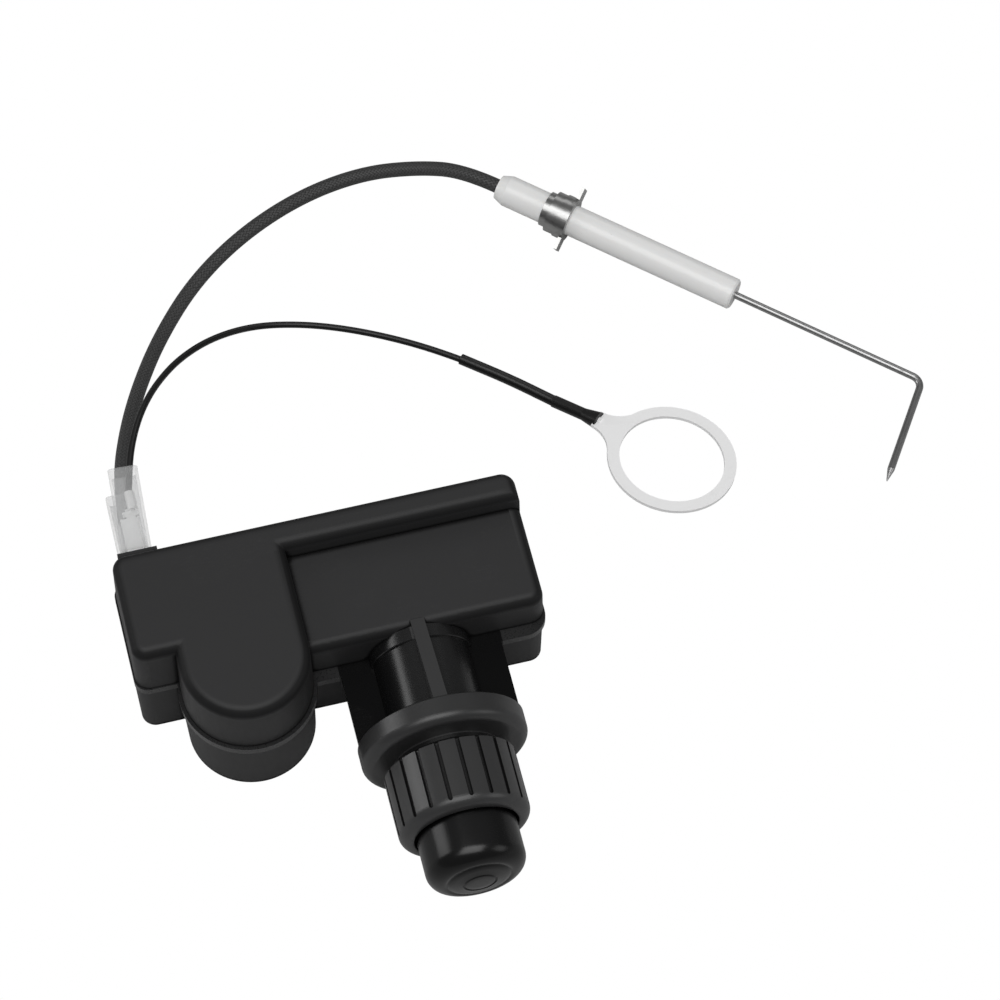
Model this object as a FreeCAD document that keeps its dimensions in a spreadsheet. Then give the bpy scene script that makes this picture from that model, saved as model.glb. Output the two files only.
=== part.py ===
import FreeCAD, Part
import Sketcher
import math
import os
import re

from FreeCAD import Placement, Rotation, Vector

# A push-button spark igniter with its battery inside, its ground lead and its electrode.
# Millimetres. The barrel's axis is the Y axis, and the button faces -Y.
# The origin is the centre of the flange's front face, which seats on the panel.
# +X runs along the long side of the case, and the case stands on z = -floor_drop.

doc = FreeCAD.newDocument("igniter_kit")
sheet = doc.addObject("Spreadsheet::Sheet", "sizes")

SIZES = [
    # the case, seen from above, and its heights over the seam plane
    ("case_left", 58.1, "left wall to the barrel's axis"),
    ("case_right", 27.0, "right wall to the barrel's axis"),
    ("case_back", 53.6, "back wall, from the flange's front face"),
    ("wall_front_left", 28.9, "front wall left of the coil's housing"),
    ("wall_front_right", 24.6, "front wall that carries the barrel"),
    ("case_height", 15.5, "highest faces over the seam plane"),
    ("panel_drop", 5.0, "step down to the right panel"),
    ("panel_back", 46.5, "back edge of the right panel"),
    ("floor_drop", 17.4, "underside below the seam plane"),
    ("wall", 1.8, "wall of the two covers"),
    ("draft", 0.8, "draft of the covers' walls, degrees"),
    ("top_round", 2.4, "rounding of the covers' upper edges"),
    ("corner_round", 3.0, "rounding of the upright corners"),
    ("coil_x", 36.0, "coil's housing, left of the barrel's axis"),
    ("coil_radius", 13.5, "coil's housing at the seam"),
    # the seam plate, which carries the barrel
    ("plate_half", 0.95, "half of the seam plate's thickness"),
    ("plate_lip", 0.3, "how far the seam plate stands proud of the case"),
    ("coil_lip", 0.8, "how far it stands proud of the coil's housing"),
    ("plate_front", 22.1, "front edge of the seam plate beside the barrel"),
    ("plate_rim", 2.2, "width of the seam plate under the covers' walls"),
    ("web_half", 16.9, "half of the web's width beside the barrel"),
    # the barrel
    ("flange_radius", 17.4, "panel flange"),
    ("flange_round", 2.0, "panel flange's front edge"),
    ("flange_thick", 5.7, "panel flange"),
    ("barrel_radius", 10.1, "barrel between the case and the flange"),
    ("cradle_radius", 8.6, "barrel inside the case"),
    ("bore_radius", 7.55, "battery bore"),
    ("bore_back", 39.8, "bottom of the battery bore"),
    ("barrel_back", 41.2, "back face of the barrel"),
    ("barrel_nose", 10.2, "threaded nose in front of the flange"),
    ("thread_radius", 11.1, "crest of the nose's thread"),
    ("thread_depth", 0.7, "depth of both threads"),
    ("thread_pitch", 2.0, "pitch of both threads"),
    ("rib_width", 2.9, "gusset rib on the barrel"),
    ("rib_front", 16.7, "rib's height at the flange"),
    ("rib_back", 11.2, "rib's height at the case"),
    # the collar and the button
    ("collar_radius", 13.7, "retaining collar"),
    ("collar_back", 2.5, "gap that the collar leaves for a panel"),
    ("collar_front", 17.2, "collar's front face, in front of the flange's face"),
    ("collar_round", 2.4, "collar's front edge"),
    ("collar_bore", 11.16, "crest of the collar's thread"),
    ("collar_mouth", 10.75, "mouth that keeps the button in"),
    ("collar_lip", 1.3, "thickness of the mouth's lip"),
    ("groove_width", 0.9, "grip groove"),
    ("groove_depth", 0.5, "grip groove"),
    ("groove_length", 12.5, "grip groove"),
    ("button_radius", 10.4, "button"),
    ("button_rim", 11.0, "rim that the mouth's lip holds"),
    ("button_front", 28.8, "button's face, in front of the flange's face"),
    ("button_edge", 26.2, "edge of the button's domed face"),
    ("button_round", 3.9, "rounding of the button's edge"),
    ("button_wall", 1.7, "wall of the button"),
    ("button_travel", 4.0, "stroke"),
    # the battery and its contacts
    ("cell_radius", 7.2, "battery"),
    ("cell_front", 12.6, "front end of the battery, in front of the flange's face"),
    ("cell_back", 36.8, "shoulder at the battery's back end"),
    ("strip_width", 3.6, "contact strip under the battery"),
    ("strip_thick", 0.45, "contact strip under the battery"),
    # the terminals and their sleeves
    ("terminal_x", 52.1, "terminals, left of the barrel's axis"),
    ("terminal_z", 6.45, "terminals, above and below the seam plane"),
    ("tab_width", 2.8, "terminal tab"),
    ("tab_thick", 0.8, "terminal tab"),
    ("sleeve_width", 6.3, "insulating sleeve"),
    ("sleeve_height", 5.2, "insulating sleeve"),
    ("sleeve_length", 19.2, "insulating sleeve"),
    ("sleeve_wall", 0.6, "insulating sleeve"),
    ("sleeve_start", 57.0, "near end of the sleeves"),
    # the leads
    ("spark_radius", 1.62, "braided spark lead"),
    ("ground_radius", 0.71, "ground lead"),
    ("shrink_radius", 1.2, "heat-shrink over the ground lead"),
    ("crimp_radius", 1.0, "ring terminal's crimp"),
    ("ring_outer", 14.0, "ring terminal"),
    ("ring_inner", 11.4, "ring terminal"),
    ("ring_thick", 0.8, "ring terminal"),
    # the electrode
    ("ceramic_radius", 3.5, "ceramic insulator"),
    ("ceramic_length", 57.7, "ceramic insulator"),
    ("rod_radius", 0.8, "electrode rod"),
    ("rod_reach", 45.1, "rod from the ceramic to its bend"),
    ("rod_leg", 26.0, "rod from its bend to its tip"),
    ("rod_turn", 82.5, "turn at the bend, degrees"),
    ("retainer_at", 17.1, "retainer's flange from the ceramic's back end"),
    ("retainer_span", 14.8, "retainer across its two ears"),
]
VALUE = {}
for row, (alias, number, note) in enumerate(SIZES, start=1):
    sheet.set("A%d" % row, alias)
    sheet.set("B%d" % row, str(number))
    sheet.set("C%d" % row, note)
    sheet.setAlias("B%d" % row, alias)
    VALUE[alias] = number
doc.recompute()
for alias in VALUE:
    VALUE[alias] = float(getattr(sheet, alias))


def cells(text):
    """Puts the sheet's name before each size that an expression names."""
    return re.sub(r"[a-z_]+", lambda m: "sizes." + m.group(0) if m.group(0) in VALUE else m.group(0), text)


def bind(thing, sizes):
    """Binds properties of an object to expressions over the sheet."""
    for name, text in sizes.items():
        thing.setExpression(name, cells(text))


def origin_plane(body, role):
    for feature in body.Origin.OriginFeatures:
        if feature.Role == role:
            return feature
    raise RuntimeError("no origin plane " + role)


def new_body(name):
    body = doc.addObject("PartDesign::Body", name)
    body.Label = name
    return body


def outline(body, name, corners, plane="XY_Plane", lift=None):
    """A closed sketch of straight lines, each corner placed by two expressions."""
    sketch = body.newObject("Sketcher::SketchObject", name)
    sketch.AttachmentSupport = [(origin_plane(body, plane), "")]
    sketch.MapMode = "FlatFace"
    if lift:
        bind(sketch, {"AttachmentOffset.Base.z": lift})
    count = len(corners)
    turn = 2 * math.pi / count
    start = [Vector(10 * math.cos(i * turn), 10 * math.sin(i * turn), 0) for i in range(count)]
    for i in range(count):
        sketch.addGeometry(Part.LineSegment(start[i], start[(i + 1) % count]), False)
    for i in range(count):
        sketch.addConstraint(Sketcher.Constraint("Coincident", i, 2, (i + 1) % count, 1))
    for i, (across, along) in enumerate(corners):
        for kind, text in (("DistanceX", across), ("DistanceY", along)):
            if text == "0":
                axis = -2 if kind == "DistanceX" else -1
                sketch.addConstraint(Sketcher.Constraint("PointOnObject", i, 1, axis))
                continue
            at = start[i].x if kind == "DistanceX" else start[i].y
            number = sketch.addConstraint(Sketcher.Constraint(kind, -1, 1, i, 1, at))
            label = "corner_%d_%s" % (i, kind[-1].lower())
            sketch.renameConstraint(number, label)
            sketch.setExpression("Constraints." + label, cells(text))
    return sketch


def round_outline(body, name, across, along, radius, plane="XY_Plane", lift=None):
    """A sketch of one circle."""
    sketch = body.newObject("Sketcher::SketchObject", name)
    sketch.AttachmentSupport = [(origin_plane(body, plane), "")]
    sketch.MapMode = "FlatFace"
    if lift:
        bind(sketch, {"AttachmentOffset.Base.z": lift})
    sketch.addGeometry(Part.Circle(Vector(1, 1, 0), Vector(0, 0, 1), 5), False)
    for kind, text, at in (("DistanceX", across, 1), ("DistanceY", along, 1)):
        if text == "0":
            sketch.addConstraint(Sketcher.Constraint("PointOnObject", 0, 3, -2 if kind == "DistanceX" else -1))
            continue
        number = sketch.addConstraint(Sketcher.Constraint(kind, -1, 1, 0, 3, at))
        sketch.renameConstraint(number, "centre_" + kind[-1].lower())
        sketch.setExpression("Constraints.centre_" + kind[-1].lower(), cells(text))
    number = sketch.addConstraint(Sketcher.Constraint("Radius", 0, 5))
    sketch.renameConstraint(number, "radius")
    sketch.setExpression("Constraints.radius", cells(radius))
    return sketch


def pad(body, name, sketch, length, taper=None, down=False):
    feature = body.newObject("PartDesign::Pad", name)
    feature.Profile = sketch
    feature.Reversed = down
    bind(feature, {"Length": length})
    if taper:
        bind(feature, {"TaperAngle": taper})
    return feature


def turned(body, name, corners, cut=False):
    """Turns a profile of (radius, y) corners about the barrel's axis."""
    sketch = outline(body, name + "_profile", corners)
    kind = "PartDesign::Groove" if cut else "PartDesign::Revolution"
    feature = body.newObject(kind, name)
    feature.Profile = sketch
    feature.ReferenceAxis = (sketch, ["V_Axis"])
    feature.Angle = 360
    return feature


def solid_in(body, kind, name, sizes, turn=None):
    """A primitive inside a body: sizes and place bound to the sheet."""
    feature = body.newObject("PartDesign::" + kind, name)
    if turn:
        feature.Placement = Placement(Vector(0, 0, 0), turn)
    bind(feature, sizes)
    return feature


def rounded(body, name, chosen, radius):
    """Rounds the edges of the body's tip that a rule picks out."""
    doc.recompute()
    base = body.Tip
    names = []
    for i, edge in enumerate(base.Shape.Edges, start=1):
        if chosen(edge):
            names.append("Edge%d" % i)
    if not names:
        raise RuntimeError("no edge to round for " + name)
    feature = body.newObject("PartDesign::Fillet", name)
    feature.Base = (base, names)
    bind(feature, {"Radius": radius})
    doc.recompute()
    if not feature.Shape.isValid() or feature.Shape.isNull() or "Invalid" in feature.State:
        raise RuntimeError("rounding failed: " + name)
    return feature


ALONG_Y = Rotation(Vector(1, 0, 0), -90)
ALONG_X = Rotation(Vector(0, 1, 0), 90)
V = VALUE


def flat_at(edge, level, slack=0.02):
    """True for an edge that lies at one height."""
    box = edge.BoundBox
    return abs(box.ZMin - level) < slack and abs(box.ZMax - level) < slack


# The two covers. Each is a drafted shell with the coil's round housing at its front left.
def housing_outline(body, name, right_side, lift):
    """The outline from above: straight walls, and the housing's half circle at the front left."""
    sketch = body.newObject("Sketcher::SketchObject", name)
    sketch.AttachmentSupport = [(origin_plane(body, "XY_Plane"), "")]
    sketch.MapMode = "FlatFace"
    bind(sketch, {"AttachmentOffset.Base.z": lift})
    left, radius, front = -V["case_left"], V["coil_radius"], V["wall_front_right"]
    middle = -V["coil_x"]
    rest = {"case_right": V["case_right"], "wall_front_right": front, "panel_back": V["panel_back"],
            "-coil_x + coil_radius": middle + radius}
    points = [(left, V["wall_front_left"]), (middle - radius, V["wall_front_left"]), (middle - radius, front),
              (middle + radius, front)]
    points += [(rest[x], rest[y]) for x, y in right_side]
    points += [(V["case_right"], V["case_back"]), (left, V["case_back"])]
    texts = [("-case_left", "wall_front_left"), ("-coil_x - coil_radius", "wall_front_left"),
             ("-coil_x - coil_radius", "wall_front_right"), (None, "wall_front_right")]
    texts += list(right_side) + [("case_right", "case_back"), ("-case_left", "case_back")]
    count = len(points)
    for i in range(count):
        a, b = points[i], points[(i + 1) % count]
        if i == 2:
            circle = Part.Circle(Vector(middle, front, 0), Vector(0, 0, 1), radius)
            sketch.addGeometry(Part.ArcOfCircle(circle, math.pi, 2 * math.pi), False)
        else:
            sketch.addGeometry(Part.LineSegment(Vector(a[0], a[1], 0), Vector(b[0], b[1], 0)), False)
    for i in range(count):
        sketch.addConstraint(Sketcher.Constraint("Coincident", i, 2, (i + 1) % count, 1))
    for kind, text, at in (("DistanceX", "-coil_x", middle), ("DistanceY", "wall_front_right", front)):
        number = sketch.addConstraint(Sketcher.Constraint(kind, -1, 1, 2, 3, at))
        sketch.renameConstraint(number, "centre_" + kind[-1].lower())
        sketch.setExpression("Constraints.centre_" + kind[-1].lower(), cells(text))
    for i in range(count):
        for kind, text, at in (("DistanceX", texts[i][0], points[i][0]), ("DistanceY", texts[i][1], points[i][1])):
            if text is None:
                continue
            number = sketch.addConstraint(Sketcher.Constraint(kind, -1, 1, i, 1, at))
            label = "corner_%d_%s" % (i, kind[-1].lower())
            sketch.renameConstraint(number, label)
            sketch.setExpression("Constraints." + label, cells(text))
    return sketch


def outer_corner(edge):
    """The upright corners of a cover, apart from those beside the housing."""
    if len(edge.Vertexes) < 2:
        return False
    a, b = edge.Vertexes[0].Point, edge.Vertexes[1].Point
    upright = abs(a.z - b.z) > 5
    left = a.x < -V["case_left"] + 1
    right = a.x > V["case_right"] - 1
    ends = abs(a.y - V["case_back"]) < 1 or abs(a.y - V["wall_front_left"]) < 1
    front = right and abs(a.y - V["wall_front_right"]) < 1
    return upright and (((left or right) and ends) or front)


upper = new_body("upper_cover")
low_block = outline(upper, "panel_outline", [
    ("-coil_x + coil_radius - 4", "wall_front_right"), ("case_right", "wall_front_right"),
    ("case_right", "panel_back + 3"), ("-coil_x + coil_radius - 4", "panel_back + 3")], lift="plate_half")
pad(upper, "panel_block", low_block, "case_height - panel_drop - plate_half", taper="-draft")
rounded(upper, "panel_corner", outer_corner, "corner_round")
rounded(upper, "panel_rounding", lambda edge: flat_at(edge, V["case_height"] - V["panel_drop"]), "top_round")
high = housing_outline(upper, "upper_outline", [("-coil_x + coil_radius", "panel_back"),
                                                ("case_right", "panel_back")], "plate_half")
pad(upper, "upper_block", high, "case_height - plate_half", taper="-draft")
doc.recompute()


def back_corner(edge):
    return outer_corner(edge) and not abs(edge.Vertexes[0].Point.y - V["wall_front_right"]) < 1.5


rounded(upper, "upper_corners", back_corner, "corner_round")


def top_edge(edge):
    """The outer upper edges of the high faces, without the panel's side."""
    if not flat_at(edge, V["case_height"]):
        return False
    box = edge.BoundBox
    along = box.YMin > V["panel_back"] - 1.1 and box.YMax < V["panel_back"] + 1.1 and box.XLength > 5
    side = -V["coil_x"] + V["coil_radius"]
    beside = box.XMin > side - 1.1 and box.XMax < side + 1.1 and box.YLength > 5
    return not along and not beside


rounded(upper, "upper_rounding", top_edge, "top_round")
solid_in(upper, "SubtractiveBox", "upper_hollow", {
    "Length": "case_left + case_right - 2 * wall - 0.8", "Width": "case_back - wall_front_left - 2 * wall - 0.8",
    "Height": "case_height - panel_drop - wall - 0.3", "Placement.Base.x": "-case_left + wall + 0.4",
    "Placement.Base.y": "wall_front_left + wall + 0.4", "Placement.Base.z": "0.3"})
solid_in(upper, "SubtractiveBox", "upper_hollow_front", {
    "Length": "case_right + coil_x - coil_radius - wall - 0.4", "Width": "wall_front_left - wall_front_right + wall",
    "Height": "case_height - panel_drop - wall - 0.3", "Placement.Base.x": "-coil_x + coil_radius",
    "Placement.Base.y": "wall_front_right + wall + 0.4", "Placement.Base.z": "0.3"})
solid_in(upper, "SubtractiveBox", "upper_hollow_left", {
    "Length": "case_left - coil_x + coil_radius - 2 * wall - 0.4", "Width": "case_back - wall_front_left - 2 * wall - 0.8",
    "Height": "case_height - wall - 0.3", "Placement.Base.x": "-case_left + wall + 0.4",
    "Placement.Base.y": "wall_front_left + wall + 0.4", "Placement.Base.z": "0.3"})
solid_in(upper, "SubtractiveCylinder", "upper_coil_well", {
    "Radius": "coil_radius - wall - 0.5", "Height": "case_height - wall - 0.3",
    "Placement.Base.x": "-coil_x", "Placement.Base.y": "wall_front_right", "Placement.Base.z": "0.3"})
solid_in(upper, "SubtractiveCylinder", "upper_barrel_notch", {
    "Radius": "barrel_radius + 0.02", "Height": "wall + 12", "Placement.Base.y": "wall_front_right - 8"}, ALONG_Y)
solid_in(upper, "SubtractiveBox", "upper_terminal_slot", {
    "Length": "8.4", "Width": "8", "Height": "12.5 - 0.3", "Placement.Base.x": "-terminal_x - 4.2",
    "Placement.Base.y": "case_back - wall - 1.5", "Placement.Base.z": "0.3"})

lower = new_body("lower_cover")
low_outline = outline(lower, "lower_outline", [
    ("-case_left", "wall_front_left"), ("-coil_x", "wall_front_left"), ("-coil_x", "wall_front_right"),
    ("case_right", "wall_front_right"), ("case_right", "case_back"), ("-case_left", "case_back")], lift="-plate_half")
pad(lower, "lower_block", low_outline, "floor_drop - plate_half", taper="-draft", down=True)
rounded(lower, "lower_corners", outer_corner, "corner_round")
low_ring = round_outline(lower, "lower_housing_outline", "-coil_x", "wall_front_right", "coil_radius",
                         lift="-plate_half")
pad(lower, "lower_housing", low_ring, "floor_drop - plate_half", taper="-draft", down=True)
low_side = outline(lower, "lower_housing_side", [
    ("-coil_x - coil_radius", "wall_front_right"), ("-coil_x + 2", "wall_front_right"),
    ("-coil_x + 2", "wall_front_left + 6"), ("-coil_x - coil_radius", "wall_front_left + 6")], lift="-plate_half")
pad(lower, "lower_housing_sides", low_side, "floor_drop - plate_half", taper="-draft", down=True)


solid_in(lower, "SubtractiveBox", "lower_hollow", {
    "Length": "case_left + case_right - 2 * wall - 0.9", "Width": "case_back - wall_front_left - 2 * wall - 0.9",
    "Height": "floor_drop - wall", "Placement.Base.x": "-case_left + wall + 0.45",
    "Placement.Base.y": "wall_front_left + wall + 0.45", "Placement.Base.z": "-floor_drop + wall"})
solid_in(lower, "SubtractiveBox", "lower_hollow_front", {
    "Length": "case_right + coil_x - coil_radius - wall - 0.4", "Width": "wall_front_left - wall_front_right + wall",
    "Height": "floor_drop - wall", "Placement.Base.x": "-coil_x + coil_radius",
    "Placement.Base.y": "wall_front_right + wall + 0.4", "Placement.Base.z": "-floor_drop + wall"})
solid_in(lower, "SubtractiveCylinder", "lower_coil_well", {
    "Radius": "coil_radius - wall - 0.5", "Height": "floor_drop - wall",
    "Placement.Base.x": "-coil_x", "Placement.Base.y": "wall_front_right", "Placement.Base.z": "-floor_drop + wall"})
solid_in(lower, "SubtractiveCylinder", "lower_barrel_notch", {
    "Radius": "barrel_radius + 0.02", "Height": "wall + 12", "Placement.Base.y": "wall_front_right - 8"}, ALONG_Y)
solid_in(lower, "SubtractiveBox", "lower_terminal_slot", {
    "Length": "8.4", "Width": "8", "Height": "12.5", "Placement.Base.x": "-terminal_x - 4.2",
    "Placement.Base.y": "case_back - wall - 1.5", "Placement.Base.z": "-12.5"})

# The chassis: seam plate, web, barrel, flange, threaded nose and gusset rib in one moulding.
chassis = new_body("barrel_chassis")
plate = outline(chassis, "seam_plate_outline", [
    ("-case_left - plate_lip", "wall_front_left - plate_lip"),
    ("-coil_x - coil_radius + 1", "wall_front_left - plate_lip"),
    ("-coil_x - coil_radius + 1", "wall_front_right"), ("-coil_x + coil_radius - 1", "wall_front_right"),
    ("-coil_x + coil_radius - 1", "plate_front"), ("-web_half", "plate_front"),
    ("-web_half", "flange_thick / 2"), ("web_half", "flange_thick / 2"), ("web_half", "plate_front"),
    ("case_right + plate_lip", "plate_front"), ("case_right + plate_lip", "case_back + plate_lip"),
    ("-case_left - plate_lip", "case_back + plate_lip")], lift="-plate_half")
pad(chassis, "seam_plate", plate, "2 * plate_half")


def plate_corner(edge):
    if len(edge.Vertexes) < 2:
        return False
    a, b = edge.Vertexes[0].Point, edge.Vertexes[1].Point
    upright = abs(a.z - b.z) > V["plate_half"]
    far = abs(a.x) > V["case_right"] - 1
    far = far and (a.x > 0 or a.x < -V["case_left"] + 1)
    return upright and far and not plate_ear(edge)


def plate_ear(edge):
    """The front right corner, with a larger rounding."""
    if len(edge.Vertexes) < 2:
        return False
    a, b = edge.Vertexes[0].Point, edge.Vertexes[1].Point
    return abs(a.z - b.z) > V["plate_half"] and a.x > V["case_right"] - 1 and a.y < V["plate_front"] + 1


rounded(chassis, "seam_plate_corners", plate_corner, "corner_round")
rounded(chassis, "seam_plate_ear", plate_ear, "corner_round + 1.8")
ring = round_outline(chassis, "housing_plate_outline", "-coil_x", "wall_front_right", "coil_radius + coil_lip",
                     lift="-plate_half")
pad(chassis, "housing_plate", ring, "2 * plate_half")
solid_in(chassis, "SubtractiveBox", "seam_opening", {
    "Length": "case_left + case_right - 2 * plate_rim", "Width": "case_back - wall_front_left - 2 * plate_rim",
    "Height": "4 * plate_half", "Placement.Base.x": "-case_left + plate_rim",
    "Placement.Base.y": "wall_front_left + plate_rim", "Placement.Base.z": "-2 * plate_half"})
solid_in(chassis, "SubtractiveCylinder", "coil_opening", {
    "Radius": "coil_radius - plate_rim", "Height": "4 * plate_half",
    "Placement.Base.x": "-coil_x", "Placement.Base.y": "wall_front_right", "Placement.Base.z": "-2 * plate_half"})
turned(chassis, "barrel", [
    ("0", "-barrel_nose"), ("thread_radius - 0.5", "-barrel_nose"), ("thread_radius", "-barrel_nose + 0.5"),
    ("thread_radius", "0"), ("flange_radius", "0"),
    ("flange_radius", "flange_thick - 0.35"),
    ("flange_radius - 0.35", "flange_thick"), ("barrel_radius", "flange_thick"),
    ("barrel_radius", "wall_front_right + wall"), ("cradle_radius", "wall_front_right + wall + 0.7"),
    ("cradle_radius", "barrel_back"), ("0", "barrel_back")])


def flange_edge(edge):
    box = edge.BoundBox
    return abs(box.YMin) < 0.01 and abs(box.YMax) < 0.01 and box.XLength > 2 * V["flange_radius"] - 0.1


rounded(chassis, "flange_rounding", flange_edge, "flange_round")
turns = 4
for i in range(turns):
    low = "-barrel_nose + 1.4 + %d * thread_pitch" % i
    turned(chassis, "thread_groove_%d" % (i + 1), [
        ("thread_radius + 0.3", low), ("thread_radius", low),
        ("thread_radius - thread_depth", low + " + thread_pitch * 0.38"),
        ("thread_radius - thread_depth", low + " + thread_pitch * 0.5"),
        ("thread_radius", low + " + thread_pitch * 0.88"), ("thread_radius + 0.3", low + " + thread_pitch * 0.88")],
        cut=True)
rib = outline(chassis, "rib_outline", [
    ("flange_thick - 0.5", "barrel_radius - 1.2"), ("wall_front_right + 0.6", "barrel_radius - 1.2"),
    ("wall_front_right - 0.12", "rib_back - 3.1"), ("wall_front_right + 0.1", "rib_back - 2.1"),
    ("wall_front_right + 0.65", "rib_back - 1.2"), ("wall_front_right + 1.4", "rib_back - 0.75"),
    ("wall_front_right + 2.1", "rib_back - 0.52"), ("flange_thick - 0.5", "rib_front")], plane="YZ_Plane",
    lift="-rib_width / 2 + 0.25")
pad(chassis, "gusset_rib", rib, "rib_width")
solid_in(chassis, "SubtractiveBox", "terminal_window", {
    "Length": "8.4", "Width": "8", "Height": "4 * plate_half", "Placement.Base.x": "-terminal_x - 4.2",
    "Placement.Base.y": "case_back - wall - 1.5", "Placement.Base.z": "-2 * plate_half"})
solid_in(chassis, "SubtractiveCylinder", "battery_bore", {
    "Radius": "bore_radius", "Height": "barrel_nose + bore_back", "Placement.Base.y": "-barrel_nose"}, ALONG_Y)
solid_in(chassis, "SubtractiveBox", "strip_slot", {
    "Length": "strip_width + 0.2", "Width": "barrel_nose + bore_back", "Height": "strip_thick + 0.6",
    "Placement.Base.x": "-strip_width / 2 - 0.1", "Placement.Base.y": "-barrel_nose",
    "Placement.Base.z": "-bore_radius - strip_thick + 0.05"})
doc.recompute()

# The retaining collar, a ring nut with twenty grip grooves.
GRIP_PHASE = 6.5
collar = new_body("retaining_collar")
turned(collar, "collar_ring", [
    ("collar_mouth", "-collar_front"), ("collar_radius", "-collar_front"), ("collar_radius", "-collar_back"),
    ("collar_bore + 0.4", "-collar_back"), ("collar_bore", "-collar_back - 0.4"), ("collar_bore", "-collar_front + collar_lip"),
    ("collar_mouth", "-collar_front + collar_lip")])


def collar_front_edge(edge):
    box = edge.BoundBox
    return abs(box.YMin + V["collar_front"]) < 0.01 and abs(box.YMax + V["collar_front"]) < 0.01 \
        and box.XLength > 2 * V["collar_radius"] - 0.1


def collar_mouth_edge(edge):
    box = edge.BoundBox
    return abs(box.YMin + V["collar_front"]) < 0.01 and abs(box.YMax + V["collar_front"]) < 0.01 \
        and abs(box.XLength - 2 * V["collar_mouth"]) < 0.1


rounded(collar, "collar_rounding", collar_front_edge, "collar_round")
rounded(collar, "mouth_rounding", collar_mouth_edge, "0.3")
for i in range(turns):
    low = "-barrel_nose + 0.6 + %d * thread_pitch" % i
    turned(collar, "collar_thread_%d" % (i + 1), [
        ("collar_bore - 0.3", low), ("collar_bore", low),
        ("collar_bore + thread_depth", low + " + thread_pitch * 0.38"),
        ("collar_bore + thread_depth", low + " + thread_pitch * 0.5"),
        ("collar_bore", low + " + thread_pitch * 0.88"), ("collar_bore - 0.3", low + " + thread_pitch * 0.88")],
        cut=True)
slot = solid_in(collar, "SubtractiveBox", "grip_groove", {
    "Length": "groove_width", "Width": "groove_length + 1", "Height": "groove_depth + 1",
    "Placement.Base.x": "-groove_width / 2", "Placement.Base.y": "-collar_back - groove_length",
    "Placement.Base.z": "collar_radius - groove_depth"})
slot_end = solid_in(collar, "SubtractiveCylinder", "grip_groove_end", {
    "Radius": "groove_width / 2", "Height": "groove_depth + 1", "Placement.Base.y": "-collar_back - groove_length",
    "Placement.Base.z": "collar_radius - groove_depth"})
doc.recompute()
around = collar.newObject("PartDesign::PolarPattern", "grip_grooves")
around.Originals = [slot, slot_end]
around.Axis = (origin_plane(collar, "Y_Axis"), [""])
around.Angle = 360
around.Occurrences = 20
collar.Tip = around
collar.Placement = Placement(Vector(0, 0, 0), Rotation(Vector(0, 1, 0), GRIP_PHASE))
doc.recompute()

# The button: a domed cup whose rim the collar's mouth holds.
button = new_body("push_button")
turned(button, "button_cup", [
    ("0", "-button_front"), ("3.4", "-button_front + 0.15"), ("6.7", "-button_front + 0.95"),
    ("button_radius", "-button_edge"), ("button_radius", "-collar_front + collar_lip + 0.03"),
    ("button_rim", "-collar_front + collar_lip + 0.03"), ("button_rim", "-collar_front + collar_lip + 1.5"),
    ("button_radius - button_wall", "-collar_front + collar_lip + 1.5"),
    ("button_radius - button_wall", "-button_edge + 3.4"), ("button_radius - button_wall - 2.2", "-button_edge + 1.3"),
    ("0", "-button_edge + 0.6")])


def button_edge(edge):
    box = edge.BoundBox
    return abs(box.YMin + V["button_edge"]) < 0.01 and abs(box.YMax + V["button_edge"]) < 0.01 \
        and box.XLength > 2 * V["button_radius"] - 0.1


rounded(button, "button_rounding", button_edge, "button_round")
doc.recompute()

# The metal contact inside the button, with a pip for the spring.
pip = new_body("button_contact")
turned(pip, "contact_disc", [
    ("0", "-button_edge + 0.63"), ("6.2", "-button_edge + 1.3"), ("6.2", "-button_edge + 1.75"),
    ("2.2", "-button_edge + 1.5"), ("1.9", "-button_edge + 2.4"), ("0", "-button_edge + 2.6")])

# The battery, which the case holds ready to work.
cell = new_body("battery_cell")
turned(cell, "battery_can", [
    ("0", "-cell_front"), ("cell_radius - 0.9", "-cell_front"), ("cell_radius", "-cell_front + 0.7"),
    ("cell_radius", "-cell_front + 1.6"), ("cell_radius - 0.35", "-cell_front + 2.0"),
    ("cell_radius", "-cell_front + 2.4"), ("cell_radius", "cell_back - 0.5"), ("cell_radius - 0.5", "cell_back"),
    ("2.8", "cell_back"), ("2.6", "cell_back + 1.0"), ("0", "cell_back + 1.1")])


def coil_spring(name, radius, wire, low, high, turns_count, flat):
    """A compression spring about the barrel's axis, from low to high, with its ends laid flat."""
    length = high - low - 2 * wire
    pitch = length / turns_count
    helix = Part.makeHelix(pitch, length, radius)
    start = Vector(radius, 0, 0)
    circle = Part.Circle(start, Vector(0, 1, 0), wire)
    path = Part.Wire(helix.Edges)
    body_shape = path.makePipeShell([Part.Wire([circle.toShape()])], True, True)
    rings = []
    if flat:
        for level in (0, length):
            rings.append(Part.makeTorus(radius, wire, Vector(0, 0, level)))
    shape = body_shape
    for ring_shape in rings:
        shape = shape.fuse(ring_shape)
    feature = doc.addObject("Part::Feature", name)
    feature.Label = name
    feature.Shape = Part.makeSolid(shape.Shells[0]) if len(shape.Solids) == 0 else shape.Solids[0]
    feature.Placement = Placement(Vector(0, low + wire, 0), ALONG_Y)
    return feature


coil_spring("return_spring", 4.2, 0.4, -V["button_edge"] + 1.68, -V["cell_front"] - 0.02, 5.5, True)
coil_spring("rear_spring", 4.4, 0.35, V["cell_back"] + 0.05, V["bore_back"] - 0.05, 2.0, False)

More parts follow.
